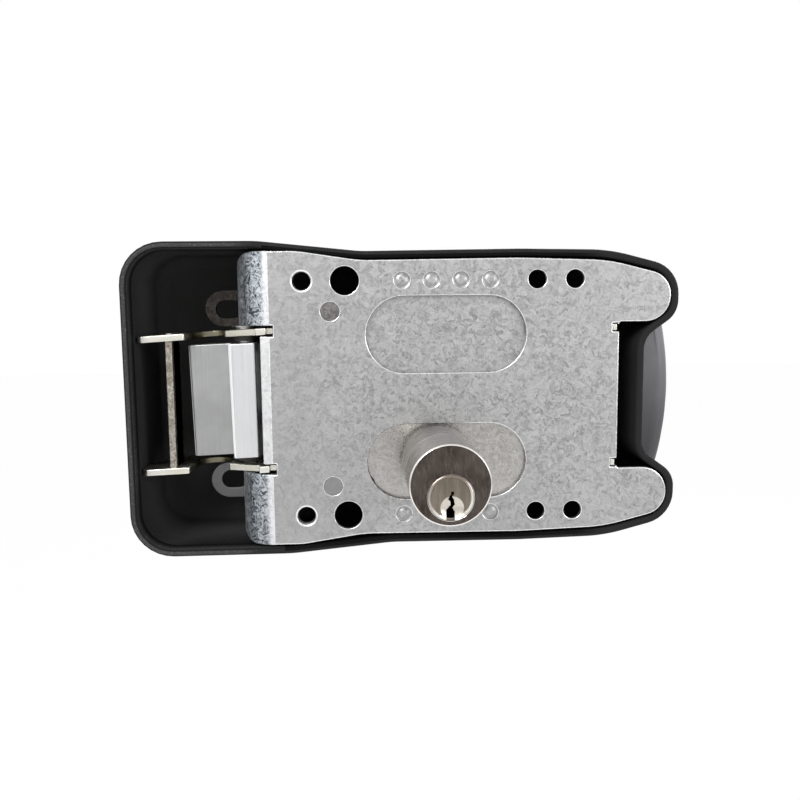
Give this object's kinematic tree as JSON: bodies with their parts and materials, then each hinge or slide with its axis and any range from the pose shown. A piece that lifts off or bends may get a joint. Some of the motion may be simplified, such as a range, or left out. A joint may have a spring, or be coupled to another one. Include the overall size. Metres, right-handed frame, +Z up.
{
  "type": "electric gate lock",
  "caption": "Surface-mounted electric rim lock with a rotary claw in a forked mouth, a sliding round key cylinder, a push button and a moulded cover with a grip.",
  "frame": {"origin": "on the outer face of the back plate, midway between its two long slots", "axes": "+X along the lock from the strike mouth to the grip, +Y from the gate into the lock, +Z up"},
  "size_m": [0.2049, 0.0933, 0.1112],
  "materials": {
    "galvanised_sheet": "galvanised, light spangle",
    "zinc_plate": "yellowish zinc plating",
    "claw_aluminium": "extruded, satin",
    "bush_brass": "plain",
    "spring_steel": "drawn wire",
    "plain_steel": "plain",
    "bobbin_nylon": "moulded",
    "copper_winding": "enamelled copper wire",
    "satin_nickel": "satin nickel",
    "black_nylon": "fine moulded grain",
    "grey_nylon": "fine moulded grain",
    "green_plastic": "moulded",
    "red_plastic": "moulded"
  },
  "bodies": {
    "case": {"back_plate": "galvanised_sheet", "plate_ears": "galvanised_sheet", "upper_side_plate": "zinc_plate", "lower_side_plate": "zinc_plate", "fork_tie_bar": "zinc_plate", "cross_spacers": "plain_steel", "claw_axle": "plain_steel", "claw_bushes": "plain_steel", "claw_spring": "spring_steel", "pawl_axle": "plain_steel", "guide_pins": "plain_steel", "bar_springs": "spring_steel", "solenoid_frame": "plain_steel", "coil_bobbin": "bobbin_nylon", "coil_winding": "copper_winding", "solenoid_core": "plain_steel", "frame_screws": "zinc_plate", "upper_slot_plate": "galvanised_sheet", "mechanism_plate": "galvanised_sheet", "terminal_block": "green_plastic", "terminal_screws": "zinc_plate", "exit_switch": "black_nylon", "button_spring": "spring_steel", "coil_leads": "red_plastic", "cover_posts": "plain_steel", "cover_screws": "zinc_plate", "cover": "black_nylon", "grip": "grey_nylon", "grip_screws": "zinc_plate"},
    "claw": {"claw": "claw_aluminium"},
    "pawl": {"pawl": "plain_steel"},
    "armature": {"armature": "plain_steel"},
    "release_bar": {"release_bar": "zinc_plate"},
    "cylinder": {"cylinder_body": "satin_nickel", "driver_pins": "bush_brass", "carrier_plate": "galvanised_sheet", "cylinder_screws": "plain_steel"},
    "plug": {"cylinder_plug": "satin_nickel", "plug_cam": "plain_steel", "key_pins": "bush_brass"},
    "button": {"push_button": "grey_nylon"},
    "plunger": {"switch_plunger": "red_plastic"}
  },
  "joints": [
    {"name": "claw_turn", "type": "hinge", "parent": "case", "child": "claw", "pos_m": [-0.072, 0.0175, 0], "axis": [0, 0, -1], "range_deg": [0, 48], "stiffness_Nm_per_rad": 0.05, "springref_deg": -20.05, "deforming": ["claw_spring"]},
    {"name": "backset_slide", "type": "slide", "parent": "case", "child": "cylinder", "axis": [1, 0, 0], "range_m": [-0.0112, 0.0188]},
    {"name": "plug_turn", "type": "hinge", "parent": "cylinder", "child": "plug", "pos_m": [-0.0034, 0, -0.0265], "axis": [0, -1, 0], "range_deg": [0, 45]},
    {"name": "release_bar_slide", "type": "slide", "parent": "case", "child": "release_bar", "axis": [0, 0, 1], "range_m": [0, 0.004], "deforming": ["bar_springs"]},
    {"name": "pawl_lift", "type": "hinge", "parent": "case", "child": "pawl", "pos_m": [-0.04901, 0.02963, 0], "axis": [0, 0, 1], "range_deg": [0, 8]},
    {"name": "armature_slide", "type": "slide", "parent": "case", "child": "armature", "axis": [1, 0, 0], "range_m": [0, 0.0016]},
    {"name": "button_press", "type": "slide", "parent": "case", "child": "button", "axis": [0, -1, 0], "range_m": [0, 0.002], "stiffness_N_per_m": 400, "springref_m": -0.002, "deforming": ["button_spring"]},
    {"name": "switch_plunger_slide", "type": "slide", "parent": "case", "child": "plunger", "axis": [0, -1, 0], "range_m": [0, 0.002]}
  ],
  "couplings": [
    {"joint": "release_bar_slide", "follows": "plug_turn", "m_per_rad": 0.005092},
    {"joint": "pawl_lift", "follows": "plug_turn", "ratio": 0.17778},
    {"joint": "armature_slide", "follows": "plug_turn", "m_per_rad": 0.002036},
    {"joint": "switch_plunger_slide", "follows": "button_press", "ratio": 1}
  ]
}
